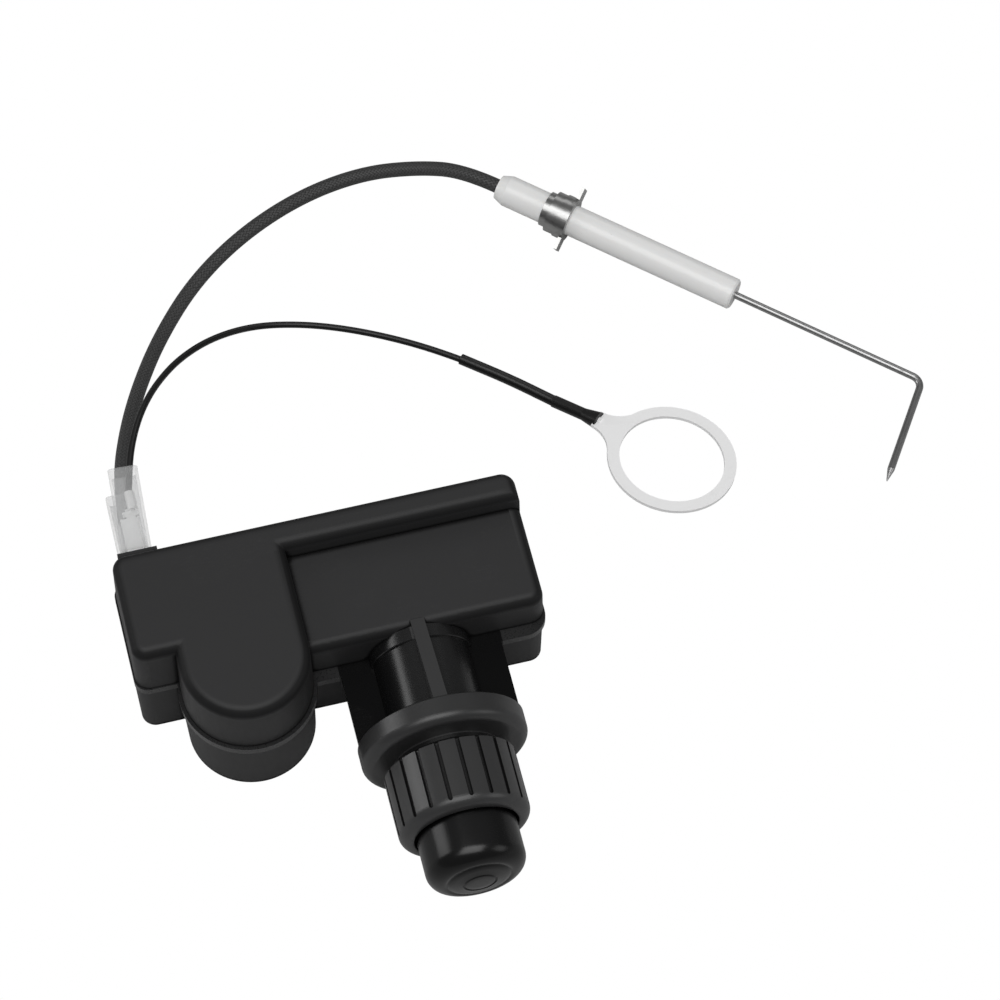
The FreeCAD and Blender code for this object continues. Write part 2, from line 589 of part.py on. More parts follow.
strip = doc.addObject("Part::Box", "contact_strip")
strip.Label = "contact_strip"
bind(strip, {
    "Length": "strip_width", "Width": "barrel_nose + bore_back - 0.6", "Height": "strip_thick",
    "Placement.Base.x": "-strip_width / 2", "Placement.Base.y": "-barrel_nose + 0.3",
    "Placement.Base.z": "-bore_radius - strip_thick + 0.06"})

# The terminals at the back left: an insulating block with two tabs one above the other.
block = new_body("terminal_block")
solid_in(block, "AdditiveBox", "terminal_body", {
    "Length": "8.3", "Width": "4.2", "Height": "24.9", "Placement.Base.x": "-terminal_x - 4.15",
    "Placement.Base.y": "case_back - 2.9", "Placement.Base.z": "-12.45"})
doc.recompute()
for sign, side in (("", "upper"), ("-", "lower")):
    solid_in(block, "SubtractiveBox", side + "_slot", {
        "Length": "tab_width", "Width": "8", "Height": "tab_thick", "Placement.Base.x": "-terminal_x - tab_width / 2",
        "Placement.Base.y": "case_back - 5", "Placement.Base.z": sign + "terminal_z - tab_thick / 2"})
    tab = doc.addObject("Part::Box", side + "_tab")
    tab.Label = side + "_tab"
    bind(tab, {
        "Length": "tab_width", "Width": "15", "Height": "tab_thick", "Placement.Base.x": "-terminal_x - tab_width / 2",
        "Placement.Base.y": "case_back - 5", "Placement.Base.z": sign + "terminal_z - tab_thick / 2"})
doc.recompute()

# The circuit behind the barrel, and the ignition coil in the round housing.
board = new_body("circuit_board")
solid_in(board, "AdditiveBox", "board_plate", {
    "Length": "62", "Width": "1.6", "Height": "22", "Placement.Base.x": "-38",
    "Placement.Base.y": "barrel_back", "Placement.Base.z": "-floor_drop + wall"})
doc.recompute()
capacitor = new_body("storage_capacitor")
solid_in(capacitor, "AdditiveCylinder", "capacitor_can", {
    "Radius": "3.9", "Height": "16", "Placement.Base.x": "-2", "Placement.Base.y": "barrel_back + 1.6 + 3.9",
    "Placement.Base.z": "-8"}, ALONG_X)
transistor = new_body("switching_transistor")
solid_in(transistor, "AdditiveBox", "transistor_case", {
    "Length": "5", "Width": "3.8", "Height": "6", "Placement.Base.x": "-16",
    "Placement.Base.y": "barrel_back + 1.6", "Placement.Base.z": "-6"})
core = doc.addObject("Part::Cylinder", "coil_core")
core.Label = "coil_core"
bind(core, {
    "Radius": "2.5", "Height": "26", "Placement.Base.x": "-coil_x", "Placement.Base.y": "wall_front_right",
    "Placement.Base.z": "-floor_drop + wall"})


def upright_tube(name, inner, outer, low, high):
    """A tube about the coil's upright axis."""
    tube = doc.addObject("Part::Cut", name)
    tube.Label = name
    outside = doc.addObject("Part::Cylinder", name + "_outside")
    inside = doc.addObject("Part::Cylinder", name + "_inside")
    for part, radius in ((outside, outer), (inside, inner)):
        bind(part, {"Radius": radius, "Height": high + " - (" + low + ")", "Placement.Base.x": "-coil_x",
                    "Placement.Base.y": "wall_front_right", "Placement.Base.z": low})
    tube.Base = outside
    tube.Tool = inside
    return tube


upright_tube("coil_bobbin", "2.5", "4.0", "-floor_drop + wall", "-floor_drop + wall + 25")
upright_tube("coil_winding", "4.0", "coil_radius - wall - 2.0", "-floor_drop + wall + 2", "-floor_drop + wall + 23")


# The leads. A route is straight runs joined by tangent arcs.
def lead_path(points, name):
    """Straight runs joined by arcs of 0.45 of the shorter run over the tangent of half the turn."""
    edges = []
    last = points[0]
    smallest = 1e9
    for i in range(1, len(points) - 1):
        before = points[i] - points[i - 1]
        after = points[i + 1] - points[i]
        turn = before.getAngle(after)
        cut = 0.45 * min(before.Length, after.Length)
        radius = cut / math.tan(turn / 2)
        smallest = min(smallest, radius)
        print("%s point %d: run %.1f, turn %.1f, radius %.1f" % (name, i, before.Length, math.degrees(turn), radius))
        one = before.normalize()
        two = after.normalize()
        start = points[i] - one * cut
        end = points[i] + two * cut
        inward = (two - one).normalize()
        centre = points[i] + inward * (radius / math.cos(turn / 2))
        middle = centre - inward * radius
        edges.append(Part.LineSegment(last, start).toShape())
        edges.append(Part.Arc(start, middle, end).toShape())
        last = end
    edges.append(Part.LineSegment(last, points[-1]).toShape())
    wire = Part.Wire(edges)
    print("%s length %.1f, smallest radius %.1f" % (name, wire.Length, smallest))
    return wire


def round_lead(name, route, radius):
    """A round solid along a route, with its wire."""
    points = [Vector(*p) for p in route]
    wire = lead_path(points, name)
    circle = Part.Circle(points[0], points[1] - points[0], radius)
    shape = wire.makePipeShell([Part.Wire([circle.toShape()])], True, False)
    solid = Part.makeSolid(shape.Shells[0]) if len(shape.Solids) == 0 else shape.Solids[0]
    return solid, wire


def lead(name, route, radius):
    solid, wire = round_lead(name, route, radius)
    wanted = math.pi * radius ** 2 * wire.Length
    print("%s volume %.1f, section times length %.1f" % (name, solid.Volume, wanted))
    if abs(solid.Volume - wanted) > 0.03 * wanted:
        raise RuntimeError("the lead's volume is off: " + name)
    return shaped(name, solid)


def shaped(name, shape):
    """A piece with a shape of its own, for what no feature gives."""
    feature = doc.addObject("Part::Feature", name)
    feature.Label = name
    feature.Shape = shape
    return feature


UPPER_X = -V["terminal_x"] + 1.3
CRIMP_END = 71.5
CERAMIC_END = Vector(44.57, 136.0, -11.45)
AXIS = Vector(0.7568, -0.6523, -0.0425).normalize()
SIDE = Vector(0.6523, 0.7568, 0).normalize()
RING = Vector(64.46, 62.36, -14.17)
RING_UP = Vector(0.155, 0.127, 0.98).normalize()
RING_OUT = Vector(0.7114, -0.7024, -0.0215)
RING_OUT = (RING_OUT - RING_UP * RING_OUT.dot(RING_UP)).normalize()
CRIMP = Vector(43.94, 83.06, -16.0)
CRIMP_OUT = RING - RING_OUT * 17.6
NECK = (CRIMP_OUT - CRIMP).normalize()

SPARK_ROUTE = [
    (-V["terminal_x"] - 0.2, CRIMP_END, -V["terminal_z"]), (-51.6, 81.5, -6.7), (-48.0, 93.5, -8.5),
    (-42.9, 105.5, -11.4), (-35.8, 118.2, -14.3), (-25.5, 130.9, -15.66), (-12.5, 140.4, -15.74), (2.2, 146.8, -15.7),
    (16.5, 149.2, -15.6), (28.5, 146.9, -14.2), tuple(CERAMIC_END - AXIS * 8.8), tuple(CERAMIC_END)]
lead("spark_lead", SPARK_ROUTE, V["spark_radius"])
GROUND_ROUTE = [
    (UPPER_X, CRIMP_END, V["terminal_z"]), (-49.4, 78.0, 6.4), (-46.9, 85.5, 5.2), (-43.7, 92.6, 2.8),
    (-39.4, 100.1, -1.6), (-33.2, 107.6, -6.4), (-25.0, 113.5, -11.0), (-15.4, 116.6, -15.0), (-5.0, 115.4, -16.55),
    (5.2, 111.6, -16.65), (16.5, 105.6, -16.6), (26.7, 98.3, -16.15), (35.8, 90.75, -16.1),
    tuple(CRIMP - NECK * 0.05)]
lead("ground_lead", GROUND_ROUTE, V["ground_radius"])


# The two insulated receptacles. Each is a rolled contact on its tab, inside a clear sleeve.
def receptacle(side, lead_x, lead_radius, level):
    """The metal contact that slides over a tab and is crimped to its lead."""
    x = -V["terminal_x"]
    y = V["sleeve_start"] + 0.6
    half = V["tab_width"] / 2 + 0.35
    thick = V["tab_thick"]
    outer = Part.makeBox(2 * half, 7.6, thick + 0.7, Vector(x - half, y, level - thick / 2 - 0.35))
    inner = Part.makeBox(V["tab_width"] + 0.04, 7.6, thick + 0.02,
                         Vector(x - V["tab_width"] / 2 - 0.02, y, level - thick / 2 - 0.01))
    neck = Part.makeBox(2.0, 3.0, 0.35, Vector((x + lead_x) / 2 - 1.0, y + 7.4, level - thick / 2 - 0.35))
    low = Vector(lead_x, y + 9.8, level)
    length = CRIMP_END - (y + 9.8)
    tube = Part.makeCylinder(lead_radius + 0.3, length, low, Vector(0, 1, 0))
    bore = Part.makeCylinder(lead_radius * 0.7, length - 0.4, low, Vector(0, 1, 0))
    link = Part.makeBox(2.0, 1.2, 0.35, Vector(lead_x - 1.0, y + 9.2, level - thick / 2 - 0.35))
    wide = Part.makeBox(abs(x - lead_x) + 2.0, 1.2, 0.35,
                        Vector(min(x, lead_x) - 1.0, y + 8.6, level - thick / 2 - 0.35))
    shape = outer.cut(inner).fuse([neck, wide, link, tube.cut(bore)]).removeSplitter()
    shaped(side + "_receptacle", shape)


def sleeve(side, level, x_near, x_far, along):
    """A clear sleeve: a flat-sided tube with rounded edges, a little askew."""
    w, t, n = V["sleeve_width"], V["sleeve_height"], V["sleeve_length"]
    box = Part.makeBox(w, n, t, Vector(-w / 2, 0, -t / 2))
    edges = [e for e in box.Edges if abs(e.Vertexes[0].Point.y - e.Vertexes[1].Point.y) > n / 2]
    box = box.makeFillet(0.9, edges)
    k = V["sleeve_wall"]
    hollow = Part.makeBox(w - 2 * k, n, t - 2 * k, Vector(-w / 2 + k, 0, -t / 2 + k))
    edges = [e for e in hollow.Edges if abs(e.Vertexes[0].Point.y - e.Vertexes[1].Point.y) > n / 2]
    hollow = hollow.makeFillet(0.4, edges)
    turn = math.degrees(math.atan2(x_near - x_far, n))
    feature = shaped(side + "_sleeve", box.cut(hollow))
    feature.Placement = Placement(Vector(x_near, V["sleeve_start"] + along, level), Rotation(Vector(0, 0, 1), turn))


receptacle("ground", UPPER_X, V["ground_radius"], V["terminal_z"])
receptacle("spark", -V["terminal_x"] - 0.2, V["spark_radius"] * 0.72, -V["terminal_z"])
sleeve("ground", V["terminal_z"], -V["terminal_x"] + 0.1, -V["terminal_x"] + 1.1, 0.2)
sleeve("spark", -V["terminal_z"], -V["terminal_x"] - 0.4, -V["terminal_x"] - 0.2, 0.9)

# The ring terminal and the heat-shrink over its crimp.
ring_turn = Rotation(RING_OUT, RING_UP.cross(RING_OUT), RING_UP, "XZY")
ring_place = Placement(RING, ring_turn)
half = V["ring_thick"] / 2
blend = 7.0
tab_half = 2.2
blend_x = math.sqrt((V["ring_outer"] + blend) ** 2 - (tab_half + blend) ** 2)
plate_shape = Part.makeCylinder(V["ring_outer"], 2 * half, Vector(0, 0, -half))
shoulder = Part.makeBox(blend_x - 10.5, 12.2, 2 * half, Vector(-blend_x, -6.1, -half))
for side in (1, -1):
    middle = Vector(-blend_x, side * (tab_half + blend), -2)
    shoulder = shoulder.cut(Part.makeCylinder(blend, 4, middle))
hole_shape = Part.makeCylinder(V["ring_inner"], 4, Vector(0, 0, -2))
flat_shape = plate_shape.fuse(shoulder).cut(hole_shape)
flat_shape.Placement = ring_place
neck_length = (CRIMP_OUT - CRIMP).Length
barrel_shape = Part.makeCylinder(V["crimp_radius"], neck_length, CRIMP, NECK)
barrel_bore = Part.makeCylinder(0.5, neck_length - 3, CRIMP, NECK)
shaped("ring_terminal", flat_shape.fuse(barrel_shape.cut(barrel_bore)).removeSplitter())

# The heat-shrink follows the lead's last points, then steps up over the crimp and flares on the neck.
gap = 0.02
covered = [Vector(*p) for p in GROUND_ROUTE[-3:-1]]
skin_route = [tuple(covered[0]), tuple(covered[1]), tuple(CRIMP), tuple(CRIMP + NECK * 5)]
skin, skin_wire = round_lead("heat_shrink", skin_route, V["shrink_radius"])
thick = Part.makeCylinder(V["shrink_radius"] + 0.15, 7.6, CRIMP - NECK * 0.3, NECK)
flare = Part.makeCone(V["shrink_radius"] + 0.15, 2.0, 4.0, CRIMP + NECK * 7.29, NECK)
skin = skin.fuse([thick, flare])
wire_room, room_wire = round_lead("lead's room", GROUND_ROUTE[-5:], V["ground_radius"] + gap)
crimp_room = Part.makeCylinder(V["crimp_radius"] + gap, 14, CRIMP - NECK * 0.05, NECK)
shoulder_room = Part.makeBox(12, 12.2, 2 * half + 0.02, Vector(-blend_x - 0.05, -6.1, -half - 0.01))
shoulder_room.Placement = ring_place
skin = skin.cut(wire_room).cut(crimp_room).cut(shoulder_room)
shaped("heat_shrink", skin.removeSplitter())

# The electrode: a ceramic tube, its pressed retainer and the bent rod.
tilt = Rotation(AXIS, SIDE, AXIS.cross(SIDE), "XZY")
electrode_place = Placement(CERAMIC_END, tilt)
r, n = V["ceramic_radius"], V["ceramic_length"]
taper = 2.2
body_shape = Part.makeCylinder(r, n - taper - 0.4, Vector(taper, 0, 0), Vector(1, 0, 0))
rear_taper = Part.makeCone(r - 0.8, r, taper, Vector(0, 0, 0), Vector(1, 0, 0))
front_edge = Part.makeCone(r, r - 0.4, 0.4, Vector(n - 0.4, 0, 0), Vector(1, 0, 0))
body_shape = body_shape.fuse([rear_taper, front_edge])
rod_hole = Part.makeCylinder(V["rod_radius"] + 0.0, n, Vector(0, 0, 0), Vector(1, 0, 0))
ceramic = shaped("ceramic_insulator", body_shape.cut(rod_hole))
ceramic.Placement = electrode_place

bend = V["rod_radius"] * 3.2
turn = math.radians(V["rod_turn"])
start = Vector(1.2, 0, 0)
corner = Vector(n + V["rod_reach"], 0, 0)
leg = Vector(math.cos(turn), -math.sin(turn), 0)
tip = corner + leg * V["rod_leg"]
cut = bend * math.tan(turn / 2)
first = corner - Vector(1, 0, 0) * cut
second = corner + leg * cut
inward = (leg - Vector(1, 0, 0)).normalize()
middle = corner + inward * (bend / math.cos(turn / 2) - bend)
point_start = tip - leg * 3.0
rod_wire = Part.Wire([Part.LineSegment(start, first).toShape(), Part.Arc(first, middle, second).toShape(),
                      Part.LineSegment(second, point_start).toShape()])
rod_circle = Part.Wire([Part.Circle(start, Vector(1, 0, 0), V["rod_radius"]).toShape()])
rod_shape = rod_wire.makePipeShell([rod_circle], True, False)
rod_point = Part.makeCone(V["rod_radius"], 0.12, 3.0, point_start, leg)
rod_solid = Part.makeSolid(rod_shape.Shells[0]).fuse(rod_point).removeSplitter()
rod = shaped("electrode_rod", rod_solid)
rod.Placement = electrode_place

at = V["retainer_at"]
disc_r = 5.05
rings_shape = [
    Part.makeCylinder(3.95, 6.3, Vector(at - 5.5, 0, 0), Vector(1, 0, 0)),
    Part.makeCylinder(4.65, 4.1, Vector(at - 4.0, 0, 0), Vector(1, 0, 0)),
    Part.makeCylinder(4.9, 1.9, Vector(at - 1.8, 0, 0), Vector(1, 0, 0)),
    Part.makeCylinder(disc_r, 0.8, Vector(at, 0, 0), Vector(1, 0, 0)),
    Part.makeBox(0.8, V["retainer_span"], 3.9, Vector(at, -V["retainer_span"] / 2, -1.95)),
]
press = rings_shape[0].fuse(rings_shape[1:])
press = press.cut(Part.makeCylinder(r, 20, Vector(at - 10, 0, 0), Vector(1, 0, 0))).removeSplitter()
retainer = shaped("electrode_retainer", press)
retainer.Placement = electrode_place.multiply(Placement(Vector(0, 0, 0), Rotation(Vector(1, 0, 0), 24.5)))

doc.recompute()

NODES = ["upper_cover", "lower_cover", "barrel_chassis", "retaining_collar", "push_button", "button_contact",
         "return_spring", "battery_cell", "rear_spring", "contact_strip", "terminal_block", "upper_tab", "lower_tab",
         "circuit_board", "storage_capacitor", "switching_transistor", "coil_core", "coil_bobbin", "coil_winding",
         "ground_sleeve", "ground_receptacle", "ground_lead", "heat_shrink", "ring_terminal", "spark_sleeve",
         "spark_receptacle", "spark_lead", "ceramic_insulator", "electrode_retainer", "electrode_rod"]

for thing in doc.Objects:
    if "Invalid" in thing.State or "Error" in thing.State:
        raise RuntimeError("failed: " + thing.Name + " " + str(thing.State))
os.makedirs("parts", exist_ok=True)
for node in NODES:
    piece = doc.getObjectsByLabel(node)[0]
    shape = piece.Shape
    if shape.isNull() or not shape.isValid() or shape.Volume <= 0:
        raise RuntimeError("bad shape: " + node)
    if len(shape.Solids) != 1:
        raise RuntimeError("%s has %d solids" % (node, len(shape.Solids)))
for node in NODES:
    piece = doc.getObjectsByLabel(node)[0]
    piece.Shape.exportStep("parts/" + node + ".step")
print(len(NODES), "pieces written")
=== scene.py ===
# %% [markdown]
# # An electronic igniter kit
# The frame holds the case, the barrel, the collar, the button and the two leads at their places.
# Everything is in metres: the barrel's axis is the Y axis and the button faces -Y.
# %% The frame and the tools
import bpy
import bmesh
import math
from mathutils import Matrix, Vector, Quaternion


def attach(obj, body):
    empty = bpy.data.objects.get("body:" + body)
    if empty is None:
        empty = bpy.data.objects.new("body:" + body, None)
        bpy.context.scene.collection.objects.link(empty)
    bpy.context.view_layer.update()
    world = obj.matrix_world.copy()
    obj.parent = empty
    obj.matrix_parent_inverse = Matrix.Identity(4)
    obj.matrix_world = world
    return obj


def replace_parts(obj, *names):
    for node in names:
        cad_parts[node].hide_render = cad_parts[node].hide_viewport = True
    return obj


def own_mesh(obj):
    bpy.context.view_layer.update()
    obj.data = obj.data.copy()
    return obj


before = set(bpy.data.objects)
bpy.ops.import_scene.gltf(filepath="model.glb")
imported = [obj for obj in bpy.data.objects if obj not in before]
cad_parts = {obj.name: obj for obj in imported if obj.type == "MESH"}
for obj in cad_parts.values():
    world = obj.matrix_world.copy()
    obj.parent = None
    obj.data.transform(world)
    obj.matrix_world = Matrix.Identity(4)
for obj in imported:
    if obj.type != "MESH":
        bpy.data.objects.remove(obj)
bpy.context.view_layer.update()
MM = 0.001
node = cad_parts

# %% [markdown]
# ## Shader tools
# A node group holds an effect that several materials share: its inputs are named sockets,
# and its outputs are masks, numbers or normals.
# %% Shader tools
def new_group(name, inputs, outputs):
    """An empty node group with named sockets: (name, kind, value) in, (name, kind) out."""
    group = bpy.data.node_groups.new(name, "ShaderNodeTree")
    for label, kind, value in inputs:
        socket = group.interface.new_socket(label, in_out="INPUT", socket_type=kind)
        if value is not None:
            socket.default_value = value
    for label, kind in outputs:
        group.interface.new_socket(label, in_out="OUTPUT", socket_type=kind)
    return group, group.nodes.new("NodeGroupInput"), group.nodes.new("NodeGroupOutput")


def add(tree, kind, **settings):
    """A shader node with its settings; a setting named in_X sets the input X."""
    made = tree.nodes.new(kind)
    for key, value in settings.items():
        if not key.startswith("in_"):
            setattr(made, key, value)
    for key, value in settings.items():
        if key.startswith("in_"):
            label = key[3:]
            made.inputs[int(label) if label.isdigit() else label.replace("_", " ")].default_value = value
    return made


def maths(tree, operation, a, b=None, clamp=False):
    """A maths node on sockets or numbers."""
    made = tree.nodes.new("ShaderNodeMath")
    made.operation = operation
    made.use_clamp = clamp
    for i, value in enumerate((a, b)):
        if value is None:
            continue
        if isinstance(value, (int, float)):
            made.inputs[i].default_value = value
        else:
            tree.links.new(value, made.inputs[i])
    return made.outputs[0]


def mixed(tree, mask, a, b):
    """A colour that goes from a to b with the mask."""
    made = tree.nodes.new("ShaderNodeMix")
    made.data_type = "RGBA"
    for socket, value in ((made.inputs[0], mask), (made.inputs[6], a), (made.inputs[7], b)):
        if isinstance(value, (int, float)):
            socket.default_value = value
        elif isinstance(value, (tuple, list)):
            socket.default_value = (*value, 1) if len(value) == 3 else value
        else:
            tree.links.new(value, socket)
    return made.outputs[2]


def ramp(tree, value, stops):
    """A number that follows straight stops of (place, value)."""
    made = add(tree, "ShaderNodeValToRGB")
    points = made.color_ramp.elements
    while len(points) < len(stops):
        points.new(0.5)
    for point, (place, level) in zip(points, stops):
        point.position = place
        point.color = (level, level, level, 1)
    tree.links.new(value, made.inputs[0])
    return made.outputs[0]


print("shader tools ready")

# %% [markdown]
# ## Shared effects
# Moulding grain gives black plastic its fine surface, and scuffs are sparse short scratches.
# %% Shared effects
def build_grain():
    """Fine grain and slow waviness of a moulded or cast face, as a normal and a mask."""
    group, inside, out = new_group("moulded_grain", [
        ("Grain scale", "NodeSocketFloat", 2600.0), ("Grain depth", "NodeSocketFloat", 0.02),
        ("Wave scale", "NodeSocketFloat", 90.0), ("Wave depth", "NodeSocketFloat", 0.05)],
        [("Normal", "NodeSocketVector"), ("Mask", "NodeSocketFloat")])
    place = add(group, "ShaderNodeTexCoord")
    fine = add(group, "ShaderNodeTexNoise", in_Detail=3.0, in_Roughness=0.6)
    slow = add(group, "ShaderNodeTexNoise", in_Detail=1.5)
    group.links.new(place.outputs["Object"], fine.inputs["Vector"])
    group.links.new(place.outputs["Object"], slow.inputs["Vector"])
    group.links.new(inside.outputs["Grain scale"], fine.inputs["Scale"])
    group.links.new(inside.outputs["Wave scale"], slow.inputs["Scale"])
    first = add(group, "ShaderNodeBump", in_Distance=0.0004)
    second = add(group, "ShaderNodeBump", in_Distance=0.00006)
    group.links.new(inside.outputs["Wave depth"], first.inputs["Strength"])
    group.links.new(slow.outputs["Fac"], first.inputs["Height"])
    group.links.new(inside.outputs["Grain depth"], second.inputs["Strength"])
    group.links.new(fine.outputs["Fac"], second.inputs["Height"])
    group.links.new(first.outputs["Normal"], second.inputs["Normal"])
    group.links.new(second.outputs["Normal"], out.inputs["Normal"])
    group.links.new(fine.outputs["Fac"], out.inputs["Mask"])
    return group


def build_scuffs():
    """A mask of sparse fine scratches and dust specks."""
    group, inside, out = new_group("scuffs", [("Scale", "NodeSocketFloat", 260.0), ("Amount", "NodeSocketFloat", 0.5)],
                                   [("Mask", "NodeSocketFloat")])
    place = add(group, "ShaderNodeTexCoord")
    parts = []
    for turn, stretch in (((0.3, 0.2, 0.7), (1, 14, 5)), ((0.9, 0.4, 1.9), (1, 11, 6))):
        turned = add(group, "ShaderNodeMapping", in_Rotation=turn, in_Scale=stretch)
        group.links.new(place.outputs["Object"], turned.inputs["Vector"])
        lines = add(group, "ShaderNodeTexNoise", in_Detail=2.0, in_Roughness=0.4)
        group.links.new(turned.outputs["Vector"], lines.inputs["Vector"])
        group.links.new(inside.outputs["Scale"], lines.inputs["Scale"])
        near = maths(group, "ABSOLUTE", maths(group, "SUBTRACT", lines.outputs["Fac"], 0.5))
        parts.append(maths(group, "LESS_THAN", near, 0.004))
    patches = add(group, "ShaderNodeTexNoise", in_Scale=55.0, in_Detail=2.0)
    group.links.new(place.outputs["Object"], patches.inputs["Vector"])
    where = maths(group, "GREATER_THAN", patches.outputs["Fac"], 0.6)
    both = maths(group, "MAXIMUM", parts[0], parts[1])
    mask = maths(group, "MULTIPLY", maths(group, "MULTIPLY", both, where), inside.outputs["Amount"])
    group.links.new(mask, out.inputs["Mask"])
    return group


GRAIN = build_grain()
SCUFFS = build_scuffs()
print("node groups:", GRAIN.name, SCUFFS.name)

# %% [markdown]
# ## The materials
# The black mouldings differ in their gloss; the metals differ in their brushing.
# %% The materials
def new_material(name):
    material = bpy.data.materials.new(name)
    material.use_nodes = True
    tree = material.node_tree
    return material, tree, tree.nodes["Principled BSDF"]


def use_group(tree, group, **values):
    made = tree.nodes.new("ShaderNodeGroup")
    made.node_tree = group
    for key, value in values.items():
        made.inputs[key.replace("_", " ")].default_value = value
    return made


def black_moulding(name, colour, roughness, grain_depth, wave_depth, scuff_amount, gloss=0.5, rounding=0.9):
    """Injection-moulded black plastic, with painted shade: darker and less glossy on its roundings and in its inner
    corners.
    """
    material, tree, shader = new_material(name)
    grain = use_group(tree, GRAIN, Grain_depth=grain_depth, Wave_depth=wave_depth)
    scuffs = use_group(tree, SCUFFS, Amount=scuff_amount)
    worn = tuple(c * 1.7 for c in colour)
    surface = mixed(tree, scuffs.outputs["Mask"], colour, worn)
    # Painted shade on the roundings between the tops and the walls: faces whose normal points partly up get a darker
    # colour; the rounding argument sets how much.
    facing = add(tree, "ShaderNodeNewGeometry")
    upward = add(tree, "ShaderNodeSeparateXYZ")
    tree.links.new(facing.outputs["Normal"], upward.inputs[0])
    rounding_shade = ramp(tree, upward.outputs[2], ((0.0, 0.0), (0.15, 0.1), (0.45, 0.75), (0.85, 0.7), (0.985, 0.0)))
    # Painted shade in the inner corners, from ambient occlusion within 1.6 mm.
    hollow = add(tree, "ShaderNodeAmbientOcclusion", samples=12, in_Distance=1.6 * MM)
    corner_shade = ramp(tree, hollow.outputs["AO"], ((0.0, 1.0), (0.62, 1.0), (0.86, 0.0)))
    with_painted_shade = maths(tree, "MAXIMUM", maths(tree, "MULTIPLY", rounding_shade, rounding, clamp=True), corner_shade)
    # Where the shade is painted, the colour goes down to a quarter of the moulding's colour.
    tree.links.new(mixed(tree, with_painted_shade, surface, tuple(c * 0.25 for c in colour)), shader.inputs["Base Color"])
    rough = maths(tree, "ADD", maths(tree, "MULTIPLY", grain.outputs["Mask"], 0.08), roughness - 0.04)
    tree.links.new(maths(tree, "ADD", rough, maths(tree, "MULTIPLY", scuffs.outputs["Mask"], 0.15)),
                   shader.inputs["Roughness"])
    tree.links.new(grain.outputs["Normal"], shader.inputs["Normal"])
    shader.inputs["IOR"].default_value = 1.5
    # The reflections are dimmed there too, as part of the painted shade.
    dimmed = maths(tree, "MULTIPLY", maths(tree, "SUBTRACT", 1.0, maths(tree, "MULTIPLY", with_painted_shade, 0.9)), gloss)
    tree.links.new(dimmed, shader.inputs["Specular IOR Level"])
    return material


def chassis_moulding():
    """The chassis: a grained flange and rib, and a smooth barrel and web, with painted shade on the web."""
    material, tree, shader = new_material("barrel_black")
    grain = use_group(tree, GRAIN, Grain_depth=0.02, Wave_depth=0.05)
    scuffs = use_group(tree, SCUFFS, Amount=0.5)
    place = add(tree, "ShaderNodeTexCoord")
    spot = add(tree, "ShaderNodeSeparateXYZ")
    tree.links.new(place.outputs["Object"], spot.inputs[0])
    flange = maths(tree, "MULTIPLY", maths(tree, "LESS_THAN", spot.outputs[1], 5.65 * MM),
                   maths(tree, "GREATER_THAN", spot.outputs[1], -0.3 * MM))
    high_up = maths(tree, "GREATER_THAN", spot.outputs[2], 10.25 * MM)
    narrow = maths(tree, "LESS_THAN", maths(tree, "ABSOLUTE", spot.outputs[0]), 1.7 * MM)
    rib = maths(tree, "MULTIPLY", maths(tree, "MULTIPLY", high_up, narrow),
                maths(tree, "GREATER_THAN", spot.outputs[1], 5.65 * MM))
    grained = maths(tree, "MAXIMUM", flange, rib)
    # level marks the chassis within 1.4 mm of the axis height outside the flange, chiefly the web: it gets painted
    # shade from the case wall and the barrel.
    level = maths(tree, "MULTIPLY", maths(tree, "LESS_THAN", maths(tree, "ABSOLUTE", spot.outputs[2]), 1.4 * MM),
                  maths(tree, "SUBTRACT", 1.0, flange))
    outside = maths(tree, "GREATER_THAN", maths(tree, "ABSOLUTE", spot.outputs[0]), 17.2 * MM)
    level = maths(tree, "MULTIPLY", level, maths(tree, "SUBTRACT", 1.0, outside))
    # The barrel's own colour, and the web's darker colour, which is painted shade.
    with_painted_shade = mixed(tree, level, (0.0075, 0.0075, 0.0078), (0.0030, 0.0030, 0.0032))
    surface = mixed(tree, grained, with_painted_shade, (0.027, 0.027, 0.0275))
    surface = mixed(tree, outside, surface, (0.016, 0.016, 0.0163))
    surface = mixed(tree, rib, surface, (0.038, 0.038, 0.0385))
    worn = mixed(tree, scuffs.outputs["Mask"], surface, (0.03, 0.03, 0.03))
    tree.links.new(worn, shader.inputs["Base Color"])
    rough = maths(tree, "ADD", maths(tree, "MULTIPLY", grained, 0.08), 0.24)
    tree.links.new(maths(tree, "ADD", rough, maths(tree, "MULTIPLY", grain.outputs["Mask"], 0.08)),
                   shader.inputs["Roughness"])
    # Weaker reflections on the web: painted shade.
    tree.links.new(maths(tree, "SUBTRACT", 0.5, maths(tree, "MULTIPLY", level, 0.35)),
                   shader.inputs["Specular IOR Level"])
    tree.links.new(grain.outputs["Normal"], shader.inputs["Normal"])
    return material


